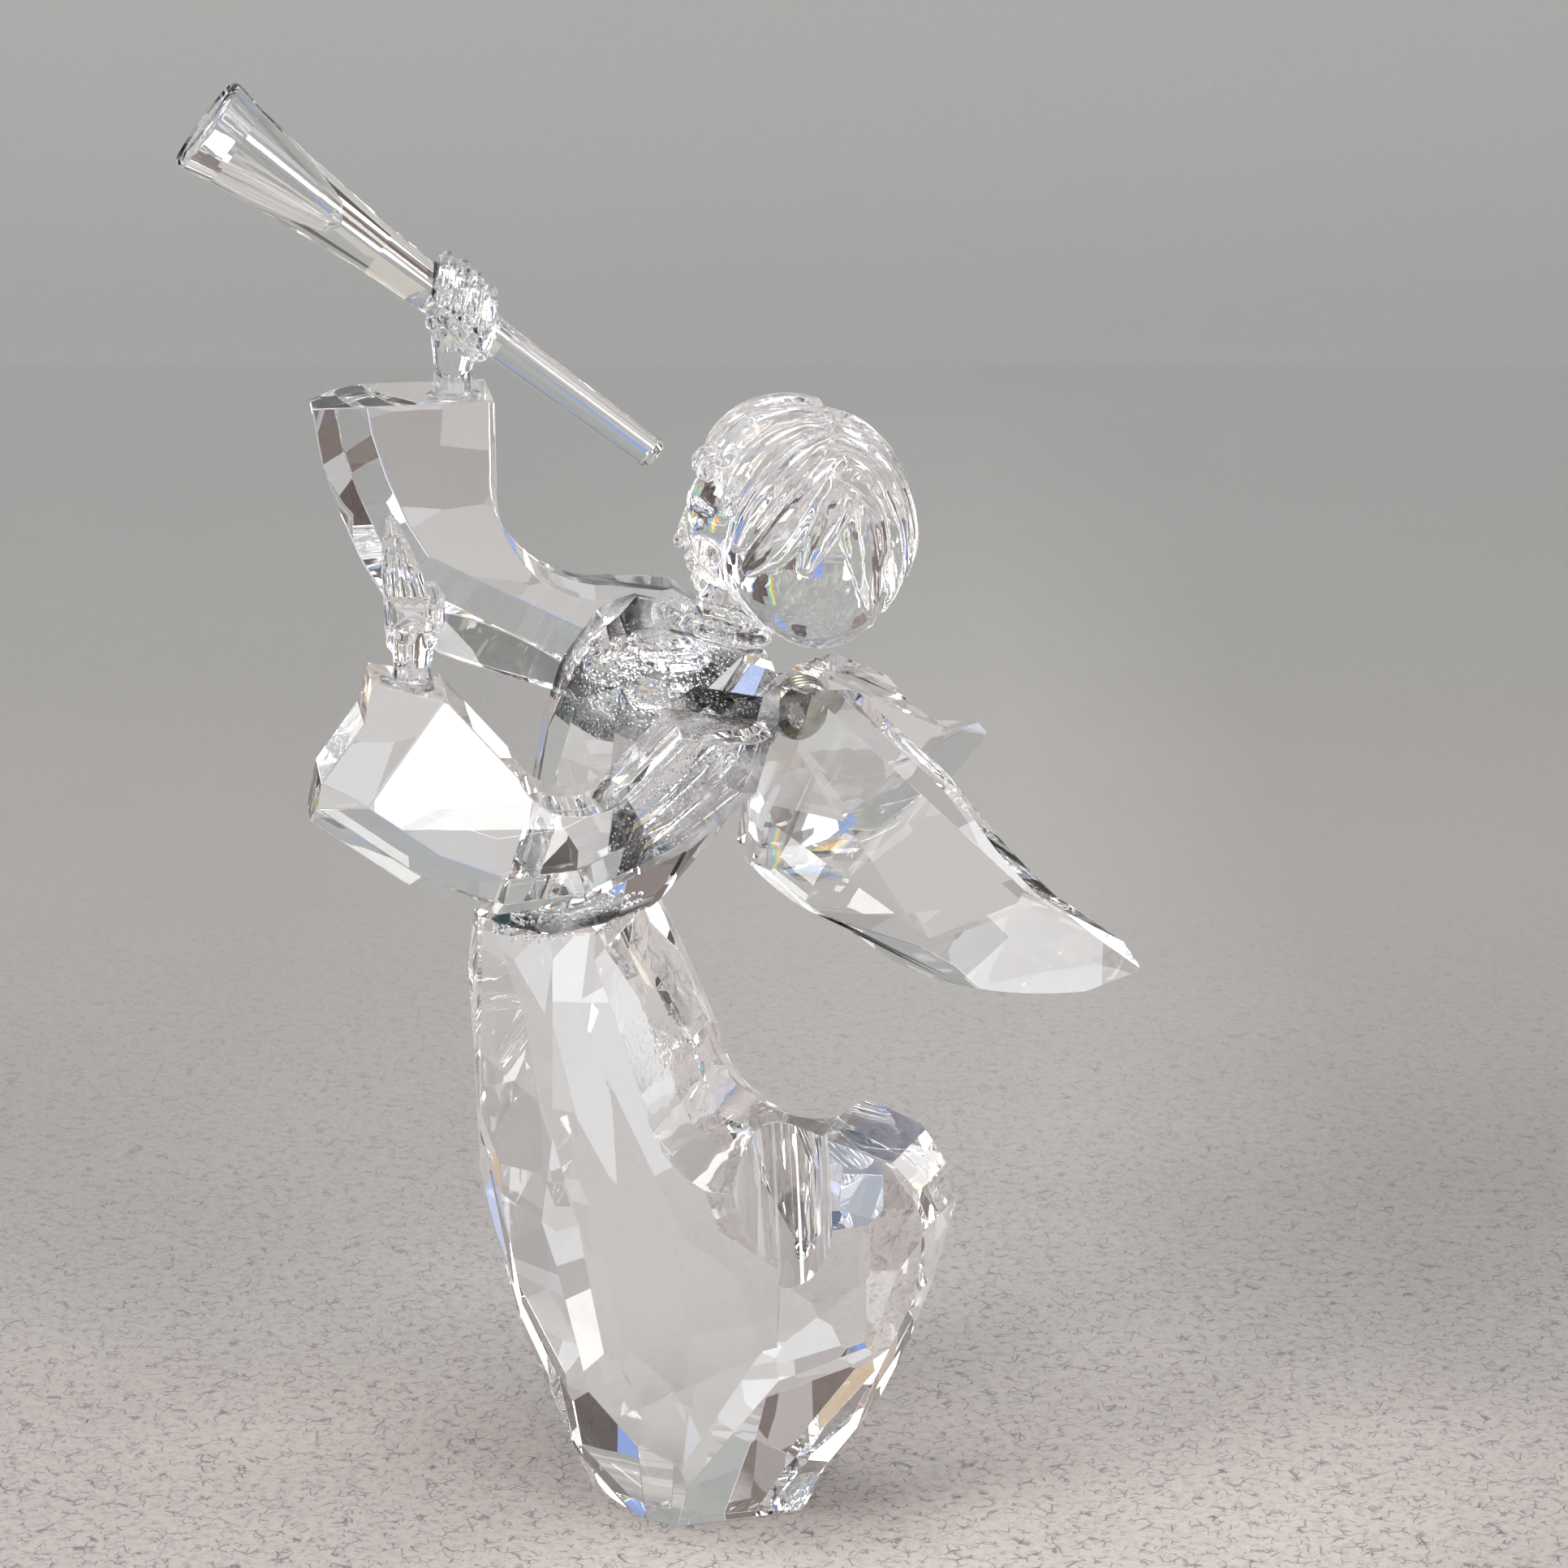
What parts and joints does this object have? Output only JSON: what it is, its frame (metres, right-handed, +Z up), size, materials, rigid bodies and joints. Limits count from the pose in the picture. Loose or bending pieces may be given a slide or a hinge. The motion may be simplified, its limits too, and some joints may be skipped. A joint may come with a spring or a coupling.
{
  "type": "crystal glass figurine",
  "caption": "Clear cut-crystal angel figurine blowing a raised trumpet, with a facetted gown, open hand, spread wings on a grooved steel mount and a flat base.",
  "frame": {"origin": "on the gown's flat resting face, at its middle along X and 2 mm behind it along Y", "axes": "+Z up, -Y towards the viewer of the display side, the angel faces -X with its trumpet raised up and to -X"},
  "size_m": [0.073, 0.0584, 0.1157],
  "materials": {
    "crystal": "cut and polished clear crystal glass",
    "steel": "turned stainless steel with polished grooves",
    "adhesive": "cured clear adhesive with fine bubbles"
  },
  "bodies": {
    "root": {"gown": "crystal", "torso": "crystal", "head": "crystal", "left_sleeve": "crystal", "right_sleeve": "crystal", "left_hand": "crystal", "right_hand": "crystal", "trumpet": "crystal", "left_wing": "crystal", "right_wing": "crystal", "wing_mount": "steel", "waist_bond": "adhesive", "neck_bond": "adhesive", "left_shoulder_bond": "adhesive", "right_shoulder_bond": "adhesive", "left_wrist_bond": "adhesive", "right_wrist_bond": "adhesive", "trumpet_bond": "adhesive", "mount_bond": "adhesive", "left_wing_bond": "adhesive", "right_wing_bond": "adhesive"}
  },
  "joints": []
}
